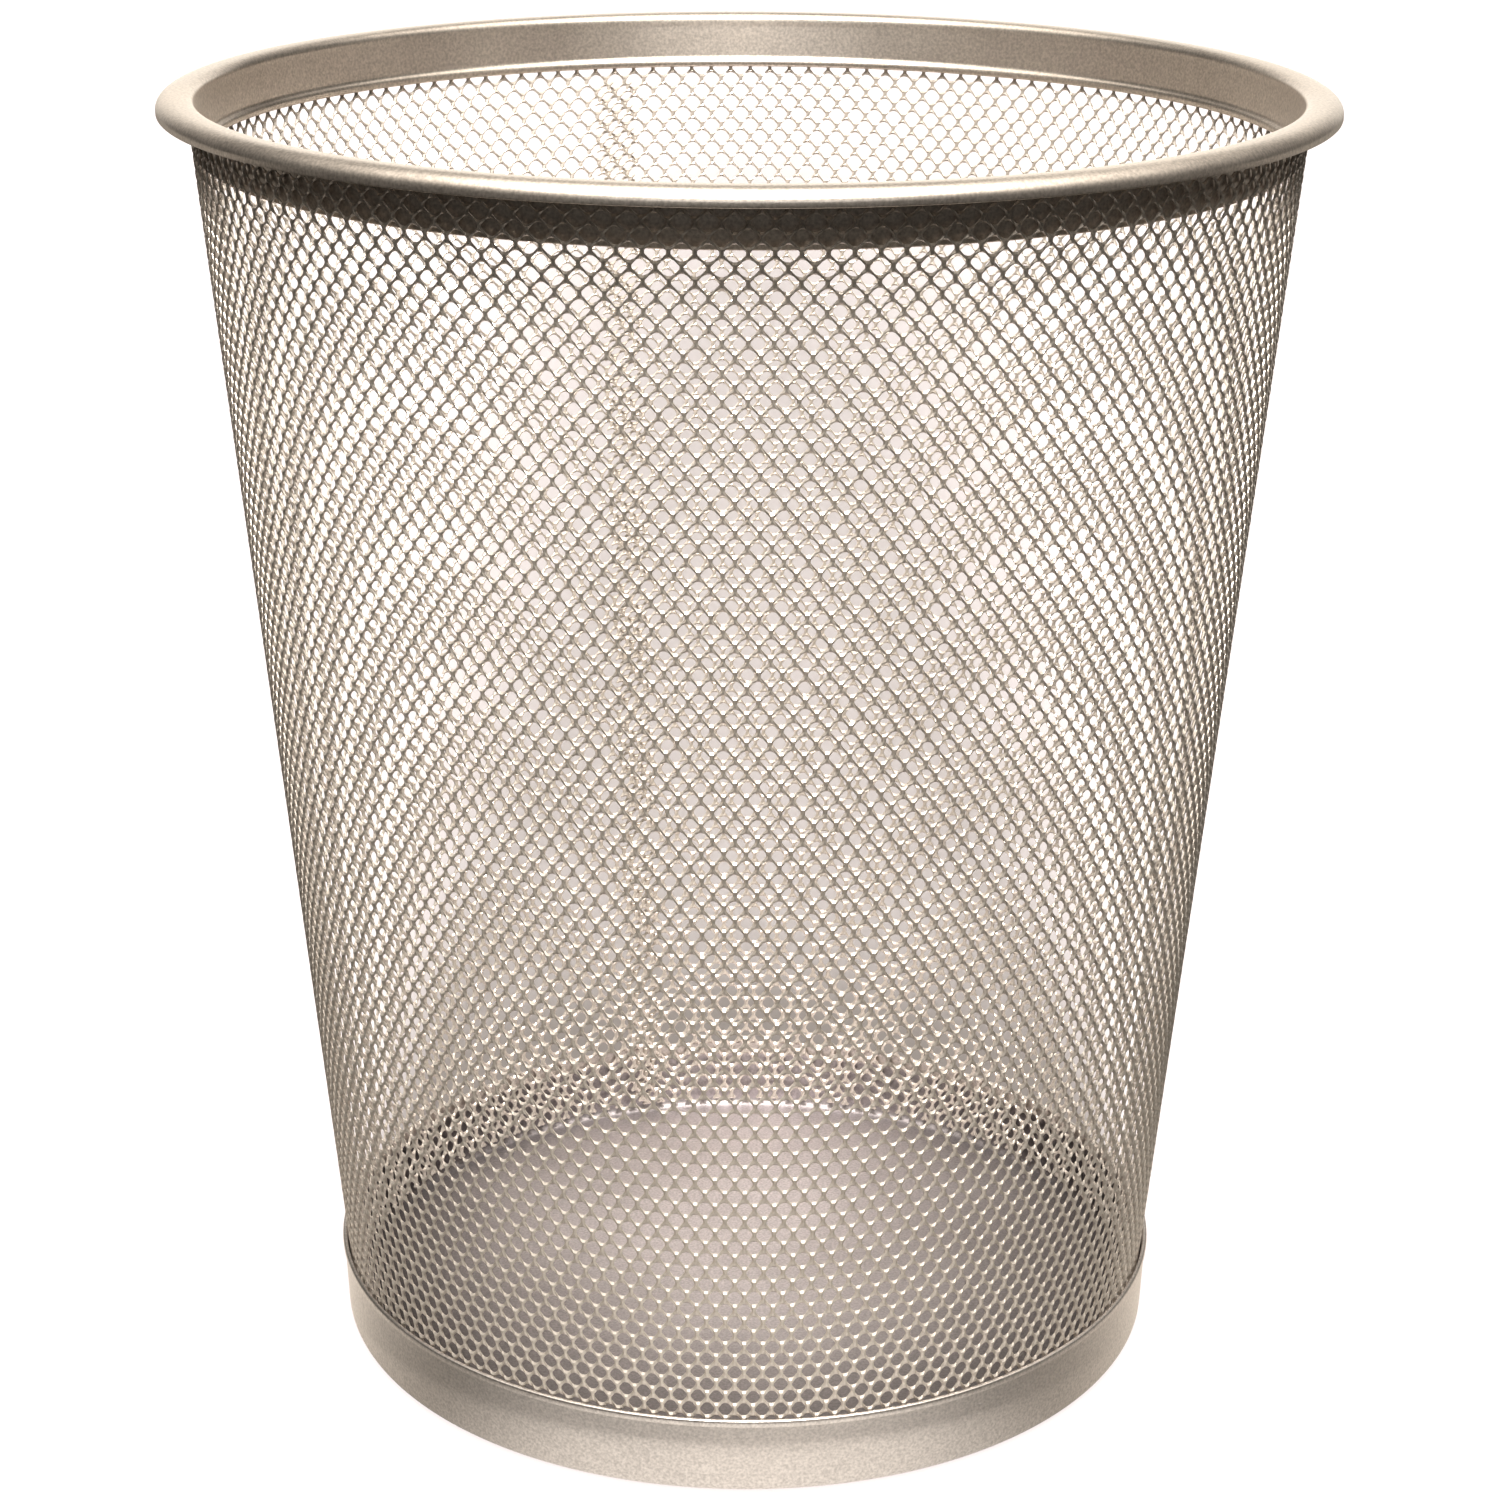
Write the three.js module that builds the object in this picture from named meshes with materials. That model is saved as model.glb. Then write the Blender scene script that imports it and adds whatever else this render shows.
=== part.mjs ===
// Round metal wastebasket of silver-painted steel: a rolled rim, a tapered sleeve of diamond mesh and a
// pressed base pan. Millimetres, +Z up, origin at the centre of the pan's underside.
import * as THREE from 'three';

// Overall size
const height = 350; // ground to the crown of the rim
const rimDiameter = 305; // over the outer edge of the rim
const panDiameter = 233.8; // over the wall of the base pan, at its top

// Rolled rim
const rimSheet = 0.7;
const flangeReach = 9.7; // skirt's inner face to the outer edge
const crownRise = 3.2; // outer edge to the crown of the domed flange
const lipDepth = 1.2;
const skirtDepth = 15.5; // crown to the lower edge of the skirt
const hemHeight = 2.4;
const hemFold = 0.9; // how far the folded hem stands into the basket

// Base pan
const panSheet = 0.7;
const panHeight = 22.6;
const panDraft = 0.9; // the wall's lean, top to bottom
const panCorner = 3.2; // outer radius between floor and wall
const beadHeight = 2.2; // rolled edge at the top of the wall
const beadBulge = 0.5;

// Diamond mesh, drawn with fewer and larger diamonds than the real sheet in the same proportions
const diamondCount = 34;
const halfRowCount = 20;
const strandWidth = 3.6;
const strandDepth = 1.2;

// Room left between pieces that are spot-welded together
const fit = 0.3;

// Facets: two round the circle for each diamond, so that flats of all three pieces lie in line
const facets = 2 * diamondCount;
const facetAngle = (2 * Math.PI) / facets;
const arcSteps = 6;
const cornerSteps = 3;

// Radii and heights that follow from the sizes above
const rimRadius = rimDiameter / 2;
const crownBase = height - crownRise;
const skirtTopRadius = rimRadius - flangeReach;
const panRadius = panDiameter / 2;
const sleeveTopRadius = skirtTopRadius + rimSheet + fit + strandDepth; // outer face, level with crownBase
const sleeveFootRadius = panRadius - panSheet - fit; // outer face, level with the top of the pan
const sleeveSlope = (sleeveTopRadius - sleeveFootRadius) / (crownBase - panHeight);
const sleeveTop = crownBase - fit;
const sleeveFoot = panCorner + fit;

// Points of an elliptical arc in the half-plane of radius and height, angles in degrees
function arc(centreRadius, centreHeight, reach, rise, from, to, steps) {
  const points = [];
  for (let i = 0; i <= steps; i += 1) {
    const angle = THREE.MathUtils.degToRad(from + ((to - from) * i) / steps);
    const radius = centreRadius + reach * Math.cos(angle);
    points.push(new THREE.Vector2(radius, centreHeight + rise * Math.sin(angle)));
  }
  return points;
}

// Solid of revolution about +Z from an outline that runs anticlockwise in radius and height
function revolve(outline) {
  const geometry = new THREE.LatheGeometry(outline, facets);
  geometry.rotateX(Math.PI / 2);
  return geometry;
}

function silverPaint(color, roughness) {
  return new THREE.MeshStandardMaterial({ color, roughness, metalness: 0.75 });
}

// Rim: skirt inside the basket, domed flange outwards, lip turned down, hem folded inwards
function rimGeometry() {
  const skirtFoot = height - skirtDepth;
  const hemMiddle = skirtFoot + hemHeight / 2;
  const hemTop = skirtFoot + hemHeight;
  const skirtRadius = (z) => skirtTopRadius - sleeveSlope * (crownBase - z);
  const crownRadius = (rimRadius + skirtTopRadius) / 2;
  const crownReach = flangeReach / 2;
  const lipFoot = crownBase - lipDepth;
  const outline = [
    new THREE.Vector2(skirtRadius(skirtFoot) + rimSheet, skirtFoot),
    ...arc(crownRadius, crownBase, crownReach - rimSheet, crownRise - rimSheet, 180, 0, arcSteps),
    new THREE.Vector2(rimRadius - rimSheet, lipFoot),
    new THREE.Vector2(rimRadius, lipFoot),
    ...arc(crownRadius, crownBase, crownReach, crownRise, 0, 180, arcSteps),
    new THREE.Vector2(skirtRadius(hemTop), hemTop),
    ...arc(skirtRadius(hemMiddle), hemMiddle, hemFold, hemHeight / 2, 150, 270, cornerSteps),
  ];
  outline.push(outline[0].clone());
  return revolve(outline);
}

// Pan: flat floor, rounded corner, wall that leans out a little and a bead rolled outwards at its top
function panGeometry() {
  const wallRadius = (z) => panRadius - (panDraft * (panHeight - z)) / panHeight;
  const cornerRadius = wallRadius(panCorner) - panCorner;
  const beadMiddle = panHeight - beadHeight / 2;
  const innerCorner = panCorner - panSheet;
  const outline = [
    new THREE.Vector2(0, 0),
    ...arc(cornerRadius, panCorner, panCorner, panCorner, 270, 360, cornerSteps),
    ...arc(wallRadius(beadMiddle), beadMiddle, beadBulge, beadHeight / 2, -90, 90, cornerSteps + 1),
    new THREE.Vector2(panRadius - panSheet, panHeight),
    ...arc(cornerRadius, panCorner, innerCorner, innerCorner, 360, 270, cornerSteps),
    new THREE.Vector2(0, panSheet),
  ];
  return revolve(outline);
}

// Sleeve: a net of strands that cross at nodes, two columns of nodes to each diamond round the cone.
// A node has four points on the outer face, each the corner of the hole on that side of it, and one on
// the inner face, so a strand has three sides.
function sleeveGeometry() {
  const flatsToCorners = 1 / Math.cos(facetAngle / 2);
  const outerRadius = (z) => sleeveFootRadius + sleeveSlope * (z - panHeight);
  const lowestNode = sleeveFoot + strandWidth;
  const rowHeight = (sleeveTop - strandWidth - lowestNode) / halfRowCount;
  const positions = [];
  const triangles = [];
  const nodes = new Map();

  function addPoint(radius, angle, z) {
    positions.push(radius * Math.cos(angle), radius * Math.sin(angle), z);
    return positions.length / 3 - 1;
  }

  function addNode(column, row) {
    const z = lowestNode + rowHeight * row;
    const angle = facetAngle * column;
    const columnWidth = facetAngle * outerRadius(z);
    const strandLength = Math.hypot(columnWidth, rowHeight);
    const halfWide = (strandWidth * strandLength) / (2 * rowHeight);
    const halfHigh = (strandWidth * strandLength) / (2 * columnWidth);
    const turn = halfWide / outerRadius(z);
    nodes.set(`${column},${row}`, {
      left: addPoint(outerRadius(z), angle - turn, z),
      right: addPoint(outerRadius(z), angle + turn, z),
      above: addPoint(outerRadius(z + halfHigh), angle, z + halfHigh),
      below: addPoint(outerRadius(z - halfHigh), angle, z - halfHigh),
      inner: addPoint((outerRadius(z) - strandDepth) * flatsToCorners, angle, z),
    });
  }

  function addTriangle(a, b, c) {
    triangles.push(a, b, c);
  }

  function addQuad(a, b, c, d) {
    addTriangle(a, b, c);
    addTriangle(a, c, d);
  }

  const nodeAt = (column, row) => nodes.get(`${(column + facets) % facets},${row}`);

  // The strand from a node up to the right, then its mirror image up to the left
  function addStrands(column, row) {
    const node = nodeAt(column, row);
    const right = nodeAt(column + 1, row + 1);
    const left = nodeAt(column - 1, row + 1);
    addQuad(node.above, node.right, right.below, right.left);
    addQuad(node.inner, right.inner, right.below, node.right);
    addQuad(node.inner, node.above, right.left, right.inner);
    addQuad(node.left, node.above, left.right, left.below);
    addQuad(node.inner, node.left, left.below, left.inner);
    addQuad(node.inner, left.inner, left.right, node.above);
  }

  // The cut ends of the strands at the foot and the top of the sheet
  function closeFoot(node) {
    addTriangle(node.below, node.left, node.inner);
    addTriangle(node.right, node.below, node.inner);
  }

  function closeTop(node) {
    addTriangle(node.above, node.right, node.inner);
    addTriangle(node.left, node.above, node.inner);
  }

  for (let row = 0; row <= halfRowCount; row += 1) {
    for (let column = row % 2; column < facets; column += 2) {
      addNode(column, row);
    }
  }
  for (let row = 0; row <= halfRowCount; row += 1) {
    for (let column = row % 2; column < facets; column += 2) {
      const node = nodeAt(column, row);
      addQuad(node.left, node.below, node.right, node.above);
      if (row === 0) {
        closeFoot(node);
      }
      if (row < halfRowCount) {
        addStrands(column, row);
      } else {
        closeTop(node);
      }
    }
  }
  const geometry = new THREE.BufferGeometry();
  geometry.setAttribute('position', new THREE.Float32BufferAttribute(positions, 3));
  geometry.setIndex(triangles);
  return geometry;
}

function piece(name, geometry, material) {
  const mesh = new THREE.Mesh(geometry, material);
  mesh.name = name;
  return mesh;
}

const wastebasket = new THREE.Group();
wastebasket.add(piece('base_pan', panGeometry(), silverPaint(0xbdb3a6, 0.45)));
wastebasket.add(piece('mesh_sleeve', sleeveGeometry(), silverPaint(0xb9b0a8, 0.5)));
wastebasket.add(piece('top_rim', rimGeometry(), silverPaint(0xc4b9ac, 0.45)));

export default wastebasket;
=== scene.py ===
import math

import bmesh
import bpy
from mathutils import Matrix, Vector


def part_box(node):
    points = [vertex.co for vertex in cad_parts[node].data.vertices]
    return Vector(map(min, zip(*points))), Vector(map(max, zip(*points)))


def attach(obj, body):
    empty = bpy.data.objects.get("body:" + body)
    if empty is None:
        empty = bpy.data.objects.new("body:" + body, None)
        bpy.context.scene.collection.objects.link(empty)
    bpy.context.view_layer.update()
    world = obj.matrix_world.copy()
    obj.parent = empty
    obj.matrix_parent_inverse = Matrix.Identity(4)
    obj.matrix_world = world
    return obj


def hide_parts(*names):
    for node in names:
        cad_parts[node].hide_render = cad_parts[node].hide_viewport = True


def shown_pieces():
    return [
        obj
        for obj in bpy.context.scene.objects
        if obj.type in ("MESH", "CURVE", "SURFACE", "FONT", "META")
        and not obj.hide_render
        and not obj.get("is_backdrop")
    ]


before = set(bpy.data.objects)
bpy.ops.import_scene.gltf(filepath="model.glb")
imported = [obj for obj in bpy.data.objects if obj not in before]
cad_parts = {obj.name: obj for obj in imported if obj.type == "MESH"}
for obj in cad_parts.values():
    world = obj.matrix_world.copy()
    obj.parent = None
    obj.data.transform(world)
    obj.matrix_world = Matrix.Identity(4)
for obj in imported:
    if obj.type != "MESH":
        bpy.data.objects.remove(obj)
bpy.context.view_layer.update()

# Base pan
# The foot of the basket: one pressed steel pan, painted silver. Its floor is flat, its wall leans out a
# little and is the plain band that shows, and the wall's top edge is rolled outwards into a small bead.
# Painted shade darkens the inside of the pan, more so towards the sides and the front, and its paint is
# rougher there.
MM = 0.001
pan_low, pan_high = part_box("base_pan")
pan_sheet = 0.7 * MM
pan_bead_height = 2.2 * MM
pan_bead_bulge = 0.5 * MM
pan_draft = 0.9 * MM
pan_corner = 3.2 * MM
pan_top = pan_high[2]
pan_radius = pan_high[0] - pan_bead_bulge
pan_floor_rings = (0.25, 0.5, 0.75, 0.97)
pan_color_dark = (0.48, 0.445, 0.42)
pan_color_light = (0.86, 0.80, 0.755)
pan_roughness = 0.36
pan_metallic = 0.95
# Painted shade inside the pan: a tint multiplied into the paint, near white at a spot behind the middle and
# dark towards the sides and front
shade_tint_middle = (0.98, 0.98, 1.07, 1)
shade_tint_edge = (0.13, 0.125, 0.135, 1)
shade_zone_roughness = 0.16
shade_top = pan_top - pan_bead_height
shade_fade = 3 * MM
shade_stretch = (1.25, 0.85, 0)
shade_centre = (0, 42 * MM, 0)
shade_clear_reach = 25 * MM
shade_full_reach = 140 * MM


def arc(centre_radius, centre_height, reach, rise, start, end, steps):
    """Points of an elliptical arc in the half-plane of radius and height, angles in degrees."""
    points = []
    for i in range(steps + 1):
        angle = math.radians(start + (end - start) * i / steps)
        points.append((centre_radius + reach * math.cos(angle), centre_height + rise * math.sin(angle)))
    return points


def revolve(name, outline, closed, facets=288):
    """A mesh turned about +Z from an outline of (radius, height) points; points on the axis make a pole."""
    mesh = bmesh.new()
    rings = []
    for radius, height in outline:
        if radius < 1e-6:
            rings.append([mesh.verts.new((0, 0, height))] * facets)
            continue
        ring = []
        for i in range(facets):
            turn = 2 * math.pi * i / facets
            ring.append(mesh.verts.new((radius * math.cos(turn), radius * math.sin(turn), height)))
        rings.append(ring)
    pairs = list(zip(rings[:-1], rings[1:]))
    if closed:
        pairs.append((rings[-1], rings[0]))
    for low, high in pairs:
        for i in range(facets):
            j = (i + 1) % facets
            corners = list(dict.fromkeys((low[i], low[j], high[j], high[i])))
            mesh.faces.new(corners)
    bmesh.ops.recalc_face_normals(mesh, faces=mesh.faces)
    data = bpy.data.meshes.new(name)
    mesh.to_mesh(data)
    mesh.free()
    data.shade_smooth()
    piece = bpy.data.objects.new(name, data)
    bpy.context.scene.collection.objects.link(piece)
    return piece


def feed(tree, socket, value):
    """Link a node's input to an output, or give it a plain value."""
    if isinstance(value, bpy.types.NodeSocket):
        tree.links.new(value, socket)
    else:
        socket.default_value = value


def calc(tree, operation, *values):
    """The result of a Math node."""
    node = tree.nodes.new("ShaderNodeMath")
    node.operation = operation
    for socket, value in zip(node.inputs, values):
        feed(tree, socket, value)
    return node.outputs[0]


def vector_calc(tree, operation, *values):
    """The result of a Vector Math node: a number for a length or a dot product, else a vector."""
    node = tree.nodes.new("ShaderNodeVectorMath")
    node.operation = operation
    for socket, value in zip(node.inputs, values):
        feed(tree, socket, value)
    return node.outputs["Value" if operation in ("DISTANCE", "DOT_PRODUCT", "LENGTH") else "Vector"]


def split(tree, vector):
    """The X, Y and Z of a vector."""
    node = tree.nodes.new("ShaderNodeSeparateXYZ")
    tree.links.new(vector, node.inputs[0])
    return node.outputs


def ramp(tree, value, start, end, before, after, interpolation="LINEAR"):
    """A number carried from one range to another and held at both ends."""
    node = tree.nodes.new("ShaderNodeMapRange")
    node.interpolation_type = interpolation
    for socket, given in zip(node.inputs, (value, start, end, before, after)):
        feed(tree, socket, given)
    return node.outputs["Result"]


def blend(tree, share, first, second, mode="MIX"):
    """One colour blended with another."""
    node = tree.nodes.new("ShaderNodeMix")
    node.data_type = "RGBA"
    node.blend_type = mode
    feed(tree, node.inputs["Factor"], share)
    feed(tree, node.inputs["A"], first)
    feed(tree, node.inputs["B"], second)
    return node.outputs["Result"]


def noise(tree, scale, detail):
    """Noise that stays with the object."""
    place = tree.nodes.new("ShaderNodeTexCoord")
    texture = tree.nodes.new("ShaderNodeTexNoise")
    texture.inputs["Scale"].default_value = scale
    texture.inputs["Detail"].default_value = detail
    tree.links.new(place.outputs["Object"], texture.inputs["Vector"])
    return texture.outputs["Fac"]


def silver_paint(name, dark, light, roughness, metallic):
    """Silver paint with fine metal flake: speckled colour, uneven gloss and a slight grain."""
    flake_scale = 1300.0
    cloud_scale = 14.0
    grain_scale = 2200.0
    noise_range = (0.3, 0.7)
    material = bpy.data.materials.new(name)
    material.use_nodes = True
    tree = material.node_tree
    shader = tree.nodes["Principled BSDF"]
    shader.inputs["Metallic"].default_value = metallic
    cloud = noise(tree, cloud_scale, 3.0)
    flakes = ramp(tree, noise(tree, flake_scale, 2.0), *noise_range, 0.0, 0.7)
    speckle = calc(tree, "ADD", flakes, ramp(tree, cloud, *noise_range, 0.0, 0.3))
    feed(tree, shader.inputs["Base Color"], blend(tree, speckle, (*dark, 1), (*light, 1)))
    gloss = ramp(tree, cloud, *noise_range, roughness - 0.05, roughness + 0.05)
    feed(tree, shader.inputs["Roughness"], gloss)
    grain = tree.nodes.new("ShaderNodeBump")
    grain.inputs["Strength"].default_value = 0.12
    grain.inputs["Distance"].default_value = 0.05 * MM
    feed(tree, grain.inputs["Height"], noise(tree, grain_scale, 2.0))
    feed(tree, shader.inputs["Normal"], grain.outputs["Normal"])
    return material


def add_painted_shade(material):
    """Painted shade on the faces below the bead that look up or towards the basket's axis, which are also
    made rougher.
    """
    tree = material.node_tree
    shader = tree.nodes["Principled BSDF"]
    paint = shader.inputs["Base Color"].links[0].from_socket
    gloss = shader.inputs["Roughness"].links[0].from_socket
    place = tree.nodes.new("ShaderNodeTexCoord").outputs
    below_bead = ramp(tree, split(tree, place["Object"])["Z"], shade_top - shade_fade, shade_top, 1.0, 0.0)
    to_axis = (-1 / pan_radius, -1 / pan_radius, 0)
    inwards = vector_calc(tree, "MULTIPLY_ADD", place["Object"], to_axis, (0, 0, 1))
    facing = vector_calc(tree, "DOT_PRODUCT", place["Normal"], inwards)
    painted_shade = calc(tree, "MULTIPLY", below_bead, ramp(tree, facing, 0.2, 0.8, 0.0, 1.0))
    stretched = vector_calc(tree, "MULTIPLY", place["Object"], shade_stretch)
    away = vector_calc(tree, "DISTANCE", stretched, shade_centre)
    edge = ramp(tree, away, shade_clear_reach, shade_full_reach, 0.0, 1.0)
    # Painted shade: the paint darker with distance from a spot behind the middle
    tint = blend(tree, edge, shade_tint_middle, shade_tint_edge)
    feed(tree, shader.inputs["Base Color"], blend(tree, painted_shade, paint, tint, "MULTIPLY"))
    feed(tree, shader.inputs["Roughness"], calc(tree, "MULTIPLY_ADD", painted_shade, shade_zone_roughness, gloss))


def pan_wall(height):
    """The wall's outer radius at a height."""
    return pan_radius - pan_draft * (pan_top - height) / pan_top


pan_corner_radius = pan_wall(pan_corner) - pan_corner
pan_inner_corner = pan_corner - pan_sheet
pan_bead_middle = pan_top - pan_bead_height / 2
pan_bead_radius = pan_wall(pan_bead_middle)
pan_edge = pan_sheet / 2
pan_outline = [(0.0, 0.0)]
pan_outline += [(pan_corner_radius * share, 0.0) for share in pan_floor_rings]
pan_outline += arc(pan_corner_radius, pan_corner, pan_corner, pan_corner, 270, 360, 10)
pan_outline += arc(pan_bead_radius, pan_bead_middle, pan_bead_bulge, pan_bead_height / 2, -90, 60, 10)
pan_outline += arc(pan_bead_radius - pan_edge, pan_top - pan_edge, pan_edge, pan_edge, 90, 180, 4)
pan_outline += arc(pan_corner_radius, pan_corner, pan_inner_corner, pan_inner_corner, 360, 270, 10)
pan_outline += [(pan_corner_radius * share, pan_sheet) for share in reversed(pan_floor_rings)]
pan_outline += [(0.0, pan_sheet)]
pan_silver = silver_paint("pan_silver", pan_color_dark, pan_color_light, pan_roughness, pan_metallic)
# The pan's paint gets its painted shade inside
add_painted_shade(pan_silver)
pan = revolve("base_pan_pressed", pan_outline, closed=False)
pan.data.materials.append(pan_silver)
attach(pan, "root")
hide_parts("base_pan")

# Mesh sleeve
# One sheet of expanded steel, slit and stretched into diamonds and rolled into a cone, painted silver.
# Its foot stands inside the pan's wall and its top edge under the rim's flange, outside the skirt.
# The bonds between strands are upright and twisted a little, and the strands widen towards the foot.
rim_low, rim_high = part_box("top_rim")
sleeve_low, sleeve_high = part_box("mesh_sleeve")
diamonds_round = 152
sleeve_sectors = 8
sleeve_foot = sleeve_low[2]
sleeve_top = sleeve_high[2]
sleeve_depth = 1.2 * MM
sleeve_fit = 0.3 * MM
sleeve_top_radius = sleeve_high[0] - sleeve_depth / 2
sleeve_pan_radius = pan_radius - pan_sheet - sleeve_fit - sleeve_depth / 2
sleeve_lean = math.atan2(sleeve_top_radius - sleeve_pan_radius, sleeve_top - pan_top)
sleeve_foot_radius = sleeve_pan_radius - (pan_top - sleeve_foot) * math.tan(sleeve_lean)
sleeve_length = (sleeve_top - sleeve_foot) / math.cos(sleeve_lean)
foot_half_row = 3.9 * MM
top_half_row = 3.41 * MM
mean_half_row = (foot_half_row + top_half_row) / 2
half_rows = round(sleeve_length / mean_half_row) - 1
strand_thickness = 0.36 * MM
bond_thickness = 1.05 * MM
bond_crown = 0.05 * MM
ridge_rise = 0.53 * MM
strand_turn = math.radians(11)
top_bond = {"strand_width": 0.44 * MM, "bond_half_width": 0.46 * MM, "crotch_half_width": 0.39 * MM}
foot_bond = {"strand_width": 0.72 * MM, "bond_half_width": 0.62 * MM, "crotch_half_width": 0.5 * MM}
foot_growth_power = 1.5
weld_distance = 0.01 * MM
mesh_color_dark = (0.54, 0.49, 0.44)
mesh_color_light = (0.76, 0.695, 0.63)
mesh_roughness = 0.36
mesh_metallic = 0.55


def bond_cell(name, strand_width, bond_half_width, crotch_half_width):
    """One bond with the halves of its four strands. Across it counts in diamonds, up it in half rows."""
    width = math.pi * (sleeve_foot_radius + sleeve_top_radius) / diamonds_round
    reach = Vector((width / 2 - bond_half_width, mean_half_row - 2 * bond_half_width))
    along = reach.normalized()
    across = Vector((-along.y, along.x)) * strand_width / 2
    middle = Vector((width / 4, mean_half_row / 2))
    upper = middle + across
    lower = middle - across
    crotch = upper.y - (upper.x - crotch_half_width) * along.y / along.x
    shoulder = lower.y - (lower.x - bond_half_width) * along.y / along.x
    twist = math.tan(strand_turn)
    mesh = bmesh.new()

    def vertex(x, y, z):
        return mesh.verts.new((x / width, y / mean_half_row, z))

    def front_and_back(x, y, lift, thickness):
        return vertex(x, y, lift + thickness / 2), vertex(x, y, lift - thickness / 2)

    def face(flip, *corners):
        mesh.faces.new(corners[::-1] if flip else corners)

    # The bond: a plate with a low crown in front, and a ridge in the crotch above it and below it
    corner = {}
    ridge = {}
    flank = {}
    quarters = [(side, up) for side in (-1, 1) for up in (-1, 1)]
    for side, up in quarters:
        lift = side * bond_half_width * twist
        corner[side, up] = front_and_back(side * crotch_half_width, up * crotch, lift / 3, bond_thickness)
        ridge[side, up] = vertex(side * crotch_half_width, up * (crotch + ridge_rise), 0)
        flank[side, up] = front_and_back(side * bond_half_width, up * shoulder, lift, strand_thickness)
    right_half = [corner[1, -1], flank[1, -1], flank[1, 1], corner[1, 1]]
    left_half = [corner[-1, 1], flank[-1, 1], flank[-1, -1], corner[-1, -1]]
    ring = right_half + left_half
    crown = vertex(0, 0, bond_thickness / 2 + bond_crown)
    for first, second in zip(ring, ring[1:] + ring[:1]):
        face(False, first[0], second[0], crown)
    face(True, *[back for front, back in ring])
    for side in (-1, 1):
        low, high = flank[side, -1], flank[side, 1]
        face(side < 0, low[0], low[1], high[1], high[0])
    for up in (-1, 1):
        left, right = corner[-1, up], corner[1, up]
        face(up < 0, left[0], right[0], ridge[1, up], ridge[-1, up])
        face(up < 0, right[1], left[1], ridge[-1, up], ridge[1, up])

    # The strands: each runs from the bond to the middle of the side of its diamond
    for side, up in quarters:
        flip = side * up < 0
        tip, peak, root = corner[side, up], ridge[side, up], flank[side, up]
        lift = side * (lower.x - middle.x) * twist
        inner = front_and_back(side * upper.x, up * upper.y, -lift, strand_thickness)
        outer = front_and_back(side * lower.x, up * lower.y, lift, strand_thickness)
        face(flip, tip[0], root[0], outer[0], inner[0])
        face(not flip, tip[1], root[1], outer[1], inner[1])
        face(flip, root[0], root[1], outer[1], outer[0])
        face(flip, inner[0], inner[1], peak)
        face(flip, inner[1], tip[1], peak)
        face(flip, tip[0], inner[0], peak)
    data = bpy.data.meshes.new(name)
    mesh.to_mesh(data)
    mesh.free()
    return data


def net_sockets(tree):
    """The named inputs of the net, and the geometry that it takes and gives."""
    labels = [("Geometry", "Geometry")]
    labels += [(label, "Int") for label in ("Columns", "Rows", "Diamonds round")]
    labels += [(label, "Float") for label in ("First column", "Foot radius", "Foot height", "Lean")]
    labels += [(label, "Float") for label in ("Foot half row", "Row change")]
    labels += [("Paint", "Material")]
    for label, kind in labels:
        tree.interface.new_socket(label, in_out="INPUT", socket_type="NodeSocket" + kind)
    tree.interface.new_socket("Geometry", in_out="OUTPUT", socket_type="NodeSocketGeometry")
    return tree.nodes.new("NodeGroupInput").outputs


def spot(tree):
    """The X, Y and Z of each point of the geometry."""
    return split(tree, tree.nodes.new("GeometryNodeInputPosition").outputs[0])


def move(tree, geometry, x, y, z):
    """The geometry with its points put at new places."""
    joined = tree.nodes.new("ShaderNodeCombineXYZ")
    for socket, value in zip(joined.inputs, (x, y, z)):
        feed(tree, socket, value)
    step = tree.nodes.new("GeometryNodeSetPosition")
    tree.links.new(geometry, step.inputs["Geometry"])
    tree.links.new(joined.outputs[0], step.inputs["Position"])
    return step.outputs["Geometry"]


def staggered_bonds(tree, given, last_row):
    """A bond on every point of a grid, with every other row shifted by half a diamond."""
    last_column = calc(tree, "SUBTRACT", given["Columns"], 1.0)
    grid = tree.nodes.new("GeometryNodeMeshGrid")
    tree.links.new(last_column, grid.inputs["Size X"])
    tree.links.new(last_row, grid.inputs["Size Y"])
    tree.links.new(given["Columns"], grid.inputs["Vertices X"])
    tree.links.new(given["Rows"], grid.inputs["Vertices Y"])
    point = spot(tree)
    row = calc(tree, "ROUND", calc(tree, "MULTIPLY_ADD", last_row, 0.5, point["Y"]))
    column = calc(tree, "MULTIPLY_ADD", last_column, 0.5, point["X"])
    column = calc(tree, "MULTIPLY_ADD", calc(tree, "MODULO", row, 2.0), 0.5, column)
    column = calc(tree, "ADD", column, given["First column"])
    bonds = tree.nodes.new("GeometryNodeInstanceOnPoints")
    tree.links.new(move(tree, grid.outputs["Mesh"], column, row, 0.0), bonds.inputs["Points"])
    tree.links.new(given["Geometry"], bonds.inputs["Instance"])
    flat = tree.nodes.new("GeometryNodeRealizeInstances")
    tree.links.new(bonds.outputs["Instances"], flat.inputs["Geometry"])
    return flat.outputs["Geometry"]


def grow_to_foot(tree, net, last_row):
    """Wider strands and bonds towards the foot of the net."""
    growth = tree.nodes.new("GeometryNodeInputNamedAttribute")
    growth.data_type = "FLOAT_VECTOR"
    growth.inputs["Name"].default_value = "foot_growth"
    share = calc(tree, "SUBTRACT", 1.0, calc(tree, "DIVIDE", spot(tree)["Y"], last_row))
    share = calc(tree, "POWER", calc(tree, "MAXIMUM", share, 0.0), foot_growth_power)
    grown = tree.nodes.new("GeometryNodeSetPosition")
    tree.links.new(net, grown.inputs["Geometry"])
    offset = vector_calc(tree, "MULTIPLY", growth.outputs["Attribute"], share)
    tree.links.new(offset, grown.inputs["Offset"])
    return grown.outputs["Geometry"]


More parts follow.
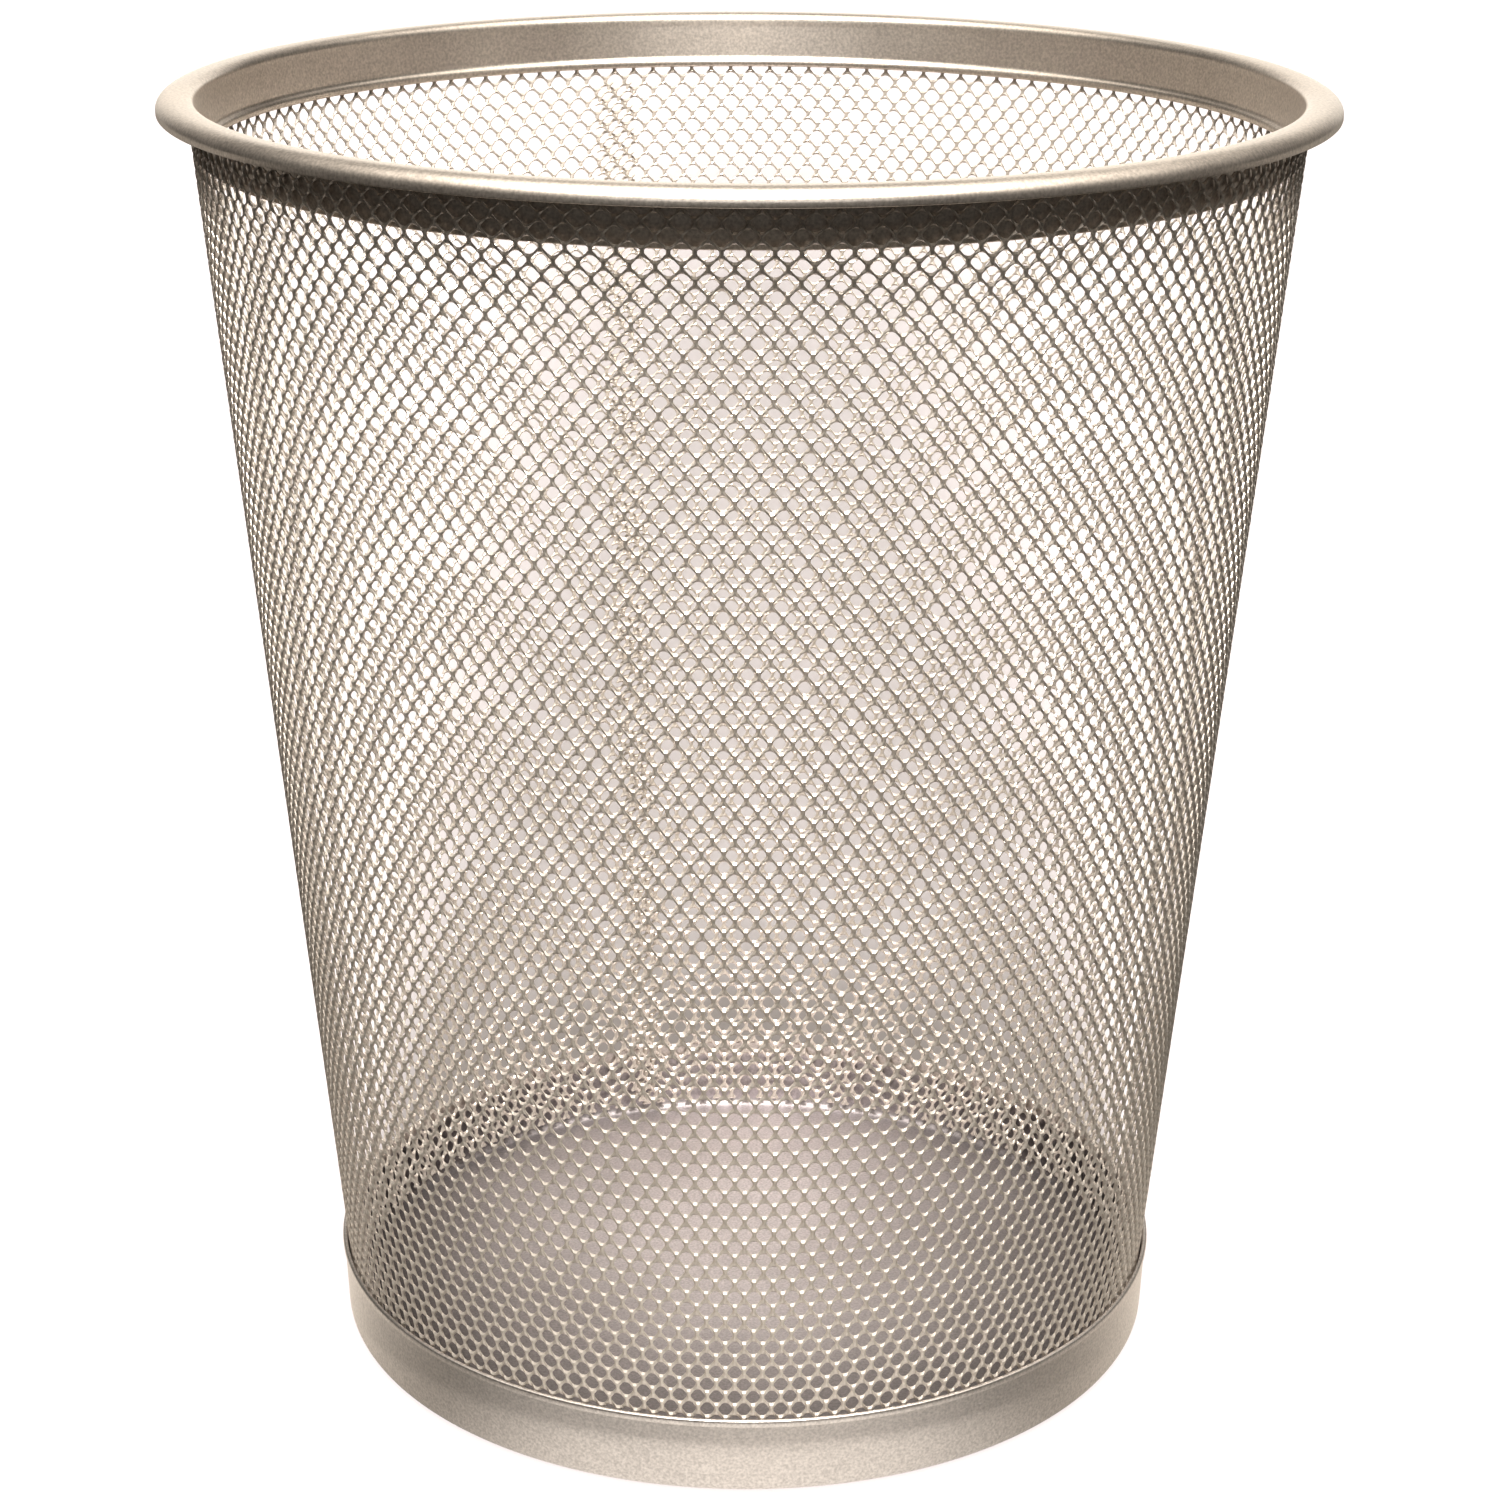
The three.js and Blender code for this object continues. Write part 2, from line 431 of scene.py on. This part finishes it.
def bend_onto_cone(tree, given, net):
    """The flat net in metres, wrapped round the cone; what was its depth points out of the cone."""
    point = spot(tree)
    half_row = calc(tree, "MULTIPLY_ADD", point["Y"], given["Row change"], given["Foot half row"])
    slant = calc(tree, "MULTIPLY", point["Y"], half_row)
    lean_across = calc(tree, "SINE", given["Lean"])
    lean_up = calc(tree, "COSINE", given["Lean"])
    radius = calc(tree, "MULTIPLY_ADD", slant, lean_across, given["Foot radius"])
    radius = calc(tree, "MULTIPLY_ADD", point["Z"], lean_up, radius)
    height = calc(tree, "MULTIPLY_ADD", slant, lean_up, given["Foot height"])
    height = calc(tree, "SUBTRACT", height, calc(tree, "MULTIPLY", point["Z"], lean_across))
    turn = calc(tree, "DIVIDE", calc(tree, "MULTIPLY", point["X"], 2 * math.pi), given["Diamonds round"])
    x = calc(tree, "MULTIPLY", radius, calc(tree, "COSINE", turn))
    y = calc(tree, "MULTIPLY", radius, calc(tree, "SINE", turn))
    return move(tree, net, x, y, height)


def net_tree():
    """Geometry Nodes that set out bonds in staggered rows, join them and bend the net onto the cone."""
    tree = bpy.data.node_groups.new("expanded_net", "GeometryNodeTree")
    given = net_sockets(tree)
    last_row = calc(tree, "SUBTRACT", given["Rows"], 1.0)
    net = grow_to_foot(tree, staggered_bonds(tree, given, last_row), last_row)
    weld = tree.nodes.new("GeometryNodeMergeByDistance")
    weld.inputs["Distance"].default_value = weld_distance
    tree.links.new(bend_onto_cone(tree, given, net), weld.inputs["Geometry"])
    paint = tree.nodes.new("GeometryNodeSetMaterial")
    tree.links.new(weld.outputs["Geometry"], paint.inputs["Geometry"])
    tree.links.new(given["Paint"], paint.inputs["Material"])
    result = tree.nodes.new("NodeGroupOutput")
    tree.links.new(paint.outputs["Geometry"], result.inputs["Geometry"])
    return tree


def net_piece(name, tree, cell, settings):
    """The net that the tree makes with these settings, as a plain mesh with its cut strands closed."""
    maker = bpy.data.objects.new(name + "_maker", cell)
    bpy.context.scene.collection.objects.link(maker)
    modifier = maker.modifiers.new("net", "NODES")
    modifier.node_group = tree
    for socket in tree.interface.items_tree:
        if socket.in_out == "INPUT" and socket.name in settings:
            modifier[socket.identifier] = settings[socket.name]
    maker.update_tag()
    graph = bpy.context.evaluated_depsgraph_get()
    data = bpy.data.meshes.new_from_object(maker.evaluated_get(graph))
    bpy.data.objects.remove(maker)
    mesh = bmesh.new()
    mesh.from_mesh(data)
    open_edges = [edge for edge in mesh.edges if edge.is_boundary]
    bmesh.ops.holes_fill(mesh, edges=open_edges, sides=4)
    mesh.to_mesh(data)
    mesh.free()
    data.name = name
    piece = bpy.data.objects.new(name, data)
    bpy.context.scene.collection.objects.link(piece)
    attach(piece, "root")
    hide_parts("mesh_sleeve")


expanded_net = net_tree()
bond = bond_cell("bond_cell", **top_bond)
heavy_bond = bond_cell("foot_bond_cell", **foot_bond)
foot_growth = bond.attributes.new("foot_growth", "FLOAT_VECTOR", "POINT")
for slim, heavy, change in zip(bond.vertices, heavy_bond.vertices, foot_growth.data):
    change.vector = heavy.co - slim.co
mesh_silver = silver_paint("mesh_silver", mesh_color_dark, mesh_color_light, mesh_roughness, mesh_metallic)
bond.materials.append(mesh_silver)
sleeve_settings = {
    "Columns": diamonds_round // sleeve_sectors,
    "Rows": half_rows + 1,
    "Diamonds round": diamonds_round,
    "Foot radius": sleeve_foot_radius,
    "Foot height": sleeve_foot + foot_half_row / 2,
    "Lean": sleeve_lean,
    "Foot half row": foot_half_row,
    "Row change": (top_half_row - foot_half_row) / (2 * half_rows),
    "Paint": mesh_silver,
}
for sector in range(sleeve_sectors):
    first_column = float(sector * diamonds_round // sleeve_sectors)
    sector_settings = {**sleeve_settings, "First column": first_column}
    net_piece(f"mesh_sleeve_{sector + 1}", expanded_net, bond, sector_settings)

# Lap seam
# The sheet's two ends overlap by about two diamonds at the back, left of the middle, and are spot-welded.
# The inner layer runs from the foot of the sleeve to just under the hem of the rim.
seam_turn = math.radians(107.5)
seam_columns = 2
seam_step_in = 1.15 * MM
seam_gap = 1.5 * MM
seam_row_shift = 0.45
seam_limit = (rim_low[2] - seam_gap - sleeve_foot) / math.cos(sleeve_lean)
seam_rows = half_rows
while seam_rows * (foot_half_row + seam_rows * sleeve_settings["Row change"]) > seam_limit - foot_half_row:
    seam_rows -= 1
seam_settings = {
    **sleeve_settings,
    "Columns": seam_columns,
    "Rows": seam_rows,
    "First column": seam_turn / (2 * math.pi) * diamonds_round - seam_columns / 2,
    "Foot radius": sleeve_foot_radius - seam_step_in,
    "Foot height": sleeve_settings["Foot height"] + seam_row_shift * foot_half_row,
}
net_piece("mesh_sleeve_lap", expanded_net, bond, seam_settings)

# Top rim
# A ring roll-formed from steel strip and painted silver. A domed flange reaches outwards and ends in a
# short lip turned down, and a skirt inside the basket, welded to the mesh, ends in a hem folded inwards.
rim_sheet = 0.7 * MM
rim_radius = rim_high[0]
rim_flange = 9.7 * MM
rim_crown = 3.2 * MM
rim_lip = 1.2 * MM
rim_hem = 2.4 * MM
rim_hem_fold = 0.9 * MM
skirt_bend = 0.8 * MM
shoulder_power = 0.6
rim_color_dark = (0.42, 0.37, 0.325)
rim_color_light = (0.78, 0.70, 0.62)
rim_roughness = 0.38
rim_metallic = 0.95
crown_base = rim_high[2] - rim_crown
crown_radius = rim_radius - rim_flange / 2
skirt_top_radius = rim_radius - rim_flange
skirt_foot = rim_low[2]
lip_foot = crown_base - rim_lip


def skirt_radius(height):
    """The radius of the skirt's inner face at a height."""
    return skirt_top_radius - math.tan(sleeve_lean) * (crown_base - height)


def dome(reach, rise, start, end, steps):
    """The flange's section: round outside its crown, squarer inside it where it turns to the skirt."""
    points = []
    for i in range(steps + 1):
        angle = math.radians(start + (end - start) * i / steps)
        across = math.cos(angle)
        up = max(math.sin(angle), 0.0)
        if across < 0:
            across = -((-across) ** shoulder_power)
            up = up ** shoulder_power
        points.append((crown_radius + reach * across, crown_base + rise * up))
    return points


rim_edge = rim_sheet / 2
hem_middle = skirt_foot + rim_hem / 2
hem_top = skirt_foot + rim_hem * 1.1
rim_outline = [(skirt_radius(skirt_foot) + rim_sheet, skirt_foot + rim_edge)]
rim_outline += dome(rim_flange / 2 - rim_sheet, rim_crown - rim_sheet, 180, 0, 24)
rim_outline += arc(rim_radius - rim_edge, lip_foot + rim_edge, rim_edge, rim_edge, 180, 360, 6)
rim_outline += dome(rim_flange / 2, rim_crown, 0, 180, 40)
# Rings close to the two bends of the skirt keep its shading straight between them
for height in (crown_base - skirt_bend, hem_top + skirt_bend, hem_top):
    rim_outline += [(skirt_radius(height), height)]
rim_outline += arc(skirt_radius(hem_middle), hem_middle, rim_hem_fold, rim_hem / 2, 110, 270, 12)
rim_outline += [(skirt_radius(skirt_foot) + rim_edge, skirt_foot)]
rim_silver = silver_paint("rim_silver", rim_color_dark, rim_color_light, rim_roughness, rim_metallic)
rim = revolve("top_rim_rolled", rim_outline, closed=True)
rim.data.materials.append(rim_silver)
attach(rim, "root")
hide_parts("top_rim")

# Ground
# A plain white table top. What the camera sees is white paper that keeps the basket's shadow; what the
# metal reflects is bright close to the foot, before, behind and beside it, and darker further away.
ground_size = 8.0
ground_height = -0.3 * MM
paper_color = (0.345, 0.319, 0.318, 1)
paper_lift_color = (1.0, 0.95, 0.88, 1)
paper_lift = 0.02
bounce_tint = (1.0, 0.93, 0.84)
bounce_near = 0.11
bounce_far = 0.012
bounce_behind = 0.12
glow_color = (1.0, 0.95, 0.89, 1)
glow_strength = 0.8
glow_spot = (0, 0.14, 0)
side_glow_color = (1.0, 0.89, 0.76, 1)
side_glow_strength = 1.0
bpy.ops.mesh.primitive_plane_add(size=ground_size, location=(0, 0, ground_height))
ground = bpy.context.object
ground.name = "ground"
ground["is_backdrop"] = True


def emission(tree, color, strength):
    """A glowing surface."""
    node = tree.nodes.new("ShaderNodeEmission")
    node.inputs["Color"].default_value = color
    feed(tree, node.inputs["Strength"], strength)
    return node.outputs[0]


def diffuse(tree, color):
    """A dull surface."""
    node = tree.nodes.new("ShaderNodeBsdfDiffuse")
    feed(tree, node.inputs["Color"], color)
    return node.outputs[0]


def add_shaders(tree, first, second):
    """Two surfaces on top of each other."""
    node = tree.nodes.new("ShaderNodeAddShader")
    tree.links.new(first, node.inputs[0])
    tree.links.new(second, node.inputs[1])
    return node.outputs[0]


def seen_or_lit(tree, seen, lit):
    """One shader for what the camera sees and another for what lights the basket."""
    ray = tree.nodes.new("ShaderNodeLightPath")
    node = tree.nodes.new("ShaderNodeMixShader")
    tree.links.new(ray.outputs["Is Camera Ray"], node.inputs["Fac"])
    tree.links.new(lit, node.inputs[1])
    tree.links.new(seen, node.inputs[2])
    return node.outputs[0]


def ground_paint():
    """White paper, with the bounce and the glow that the basket's metal reflects."""
    material = bpy.data.materials.new("ground_white")
    material.use_nodes = True
    tree = material.node_tree
    tree.nodes.clear()
    place = tree.nodes.new("ShaderNodeTexCoord").outputs["Object"]
    back = split(tree, place)["Y"]
    mirrored = vector_calc(tree, "ABSOLUTE", place)
    away = vector_calc(tree, "DISTANCE", mirrored, glow_spot)
    near = ramp(tree, away, 0.08, 0.29, bounce_near, bounce_far, "SMOOTHSTEP")
    behind = ramp(tree, back, 0.1, 0.5, 0.0, bounce_behind, "SMOOTHSTEP")
    bounce = vector_calc(tree, "MULTIPLY", calc(tree, "ADD", near, behind), bounce_tint)
    glow = emission(tree, glow_color, ramp(tree, away, 0.03, 0.12, glow_strength, 0.0, "SMOOTHSTEP"))
    near_foot = ramp(tree, vector_calc(tree, "LENGTH", place), 0.16, 0.23, 1.0, 0.0, "SMOOTHSTEP")
    aside = ramp(tree, split(tree, mirrored)["X"], 0.05, 0.1, 0.0, 1.0, "SMOOTHSTEP")
    rearwards = ramp(tree, back, -0.1, 0.02, 0.0, side_glow_strength, "SMOOTHSTEP")
    beside = calc(tree, "MULTIPLY", calc(tree, "MULTIPLY", near_foot, aside), rearwards)
    glows = add_shaders(tree, glow, emission(tree, side_glow_color, beside))
    lit = add_shaders(tree, diffuse(tree, bounce), glows)
    paper = diffuse(tree, paper_color)
    seen = add_shaders(tree, paper, emission(tree, paper_lift_color, paper_lift))
    output = tree.nodes.new("ShaderNodeOutputMaterial")
    tree.links.new(seen_or_lit(tree, seen, lit), output.inputs["Surface"])
    return material


ground.data.materials.append(ground_paint())

# Light
# A soft box overhead for the basket alone, a wide one in front for its rim alone, and a broad low lamp by
# the camera for the table alone, whose shadow shows through the mesh. The room is bright overhead, where
# the light leans to the front, and low behind.
key_place = Vector((0.0, -0.4, 1.08))
key_aim = Vector((0, 0, 0.2))
key_size = (0.25, 0.25)
key_power = 18.0
key_color = (1.0, 0.96, 0.9)
front_place = Vector((0.0, -1.6, 0.71))
front_aim = Vector((0, 0, 0.34))
front_size = (1.4, 0.3)
front_power = 3.8
front_color = (1.0, 1.0, 1.0)
table_light_power = 43.0
table_light_width = math.radians(11)
table_light_slope = math.radians(79.5)
room_color = (1.0, 0.94, 0.85, 1)
strip_strength = 3.4
strip_lean = -0.2
backdrop_strength = 2.0
room_dark = 0.03


def add_lamp(lamp, receivers):
    """A lamp in the scene that lights only the objects given."""
    holder = bpy.data.objects.new(lamp.name, lamp)
    bpy.context.scene.collection.objects.link(holder)
    lit = bpy.data.collections.new("lit_by_" + lamp.name)
    for receiver in receivers:
        lit.objects.link(receiver)
    holder.light_linking.receiver_collection = lit
    return holder


def soft_box(name, shape, size, power, color, place, aim, receivers):
    """A soft lamp at a place, turned to face a point."""
    lamp = bpy.data.lights.new(name, "AREA")
    lamp.shape = shape
    lamp.size, lamp.size_y = size
    lamp.energy = power
    lamp.color = color
    holder = add_lamp(lamp, receivers)
    holder.location = place
    holder.rotation_euler = (aim - place).to_track_quat("-Z", "Y").to_euler()


def table_light():
    """The low lamp that whitens the table and throws the basket's shadow behind it."""
    lamp = bpy.data.lights.new("table_light", "SUN")
    lamp.energy = table_light_power
    lamp.angle = table_light_width
    holder = add_lamp(lamp, [ground])
    holder.rotation_euler = (table_light_slope, 0, 0)


def background(tree, color, strength):
    """A world shader."""
    node = tree.nodes.new("ShaderNodeBackground")
    node.inputs["Color"].default_value = color
    feed(tree, node.inputs["Strength"], strength)
    return node.outputs[0]


def room_light():
    """A strip overhead that leans to the front and a bright backdrop; the camera sees plain white."""
    world = bpy.data.worlds.new("studio")
    world.use_nodes = True
    bpy.context.scene.world = world
    tree = world.node_tree
    tree.nodes.clear()
    way = split(tree, tree.nodes.new("ShaderNodeTexCoord").outputs["Generated"])
    overhead = calc(tree, "MULTIPLY_ADD", way["Y"], strip_lean, way["Z"])
    strip = ramp(tree, overhead, 0.62, 0.85, 0.0, strip_strength, "SMOOTHSTEP")
    sides = ramp(tree, calc(tree, "ABSOLUTE", way["X"]), 0.15, 0.7, 1.0, 0.4, "SMOOTHSTEP")
    behind = ramp(tree, way["Y"], 0.8, 0.96, room_dark, backdrop_strength, "SMOOTHSTEP")
    low = ramp(tree, way["Z"], 0.2, 0.55, 1.0, 0.1, "SMOOTHSTEP")
    backdrop = calc(tree, "MULTIPLY", behind, low)
    room = background(tree, room_color, calc(tree, "MULTIPLY_ADD", strip, sides, backdrop))
    white = background(tree, (1, 1, 1, 1), 1.0)
    output = tree.nodes.new("ShaderNodeOutputWorld")
    tree.links.new(seen_or_lit(tree, white, room), output.inputs["Surface"])


soft_box("key_overhead", "DISK", key_size, key_power, key_color, key_place, key_aim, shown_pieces())
soft_box("rim_front", "RECTANGLE", front_size, front_power, front_color, front_place, front_aim, [rim])
table_light()
room_light()

# Camera
# Fitted to the rim, the foot and the outline in the photograph: a short telephoto, looking down.
camera_distance = 859.3 * MM
camera_height = 476.3 * MM
camera_aside = 0.85 * MM
camera_pitch = math.radians(19.854)
camera_roll = math.radians(0.258)
camera_lens = 78.6
camera_data = bpy.data.cameras.new("photo_camera")
camera_data.lens = camera_lens
camera_data.sensor_width = 36.0
camera = bpy.data.objects.new("photo_camera", camera_data)
bpy.context.scene.collection.objects.link(camera)
stand = Matrix.Translation((camera_aside, -camera_distance, camera_height))
tilt = Matrix.Rotation(math.pi / 2 - camera_pitch, 4, "X")
camera.matrix_world = stand @ tilt @ Matrix.Rotation(camera_roll, 4, "Z")
bpy.context.scene.camera = camera
bpy.context.scene.view_settings.view_transform = "Standard"
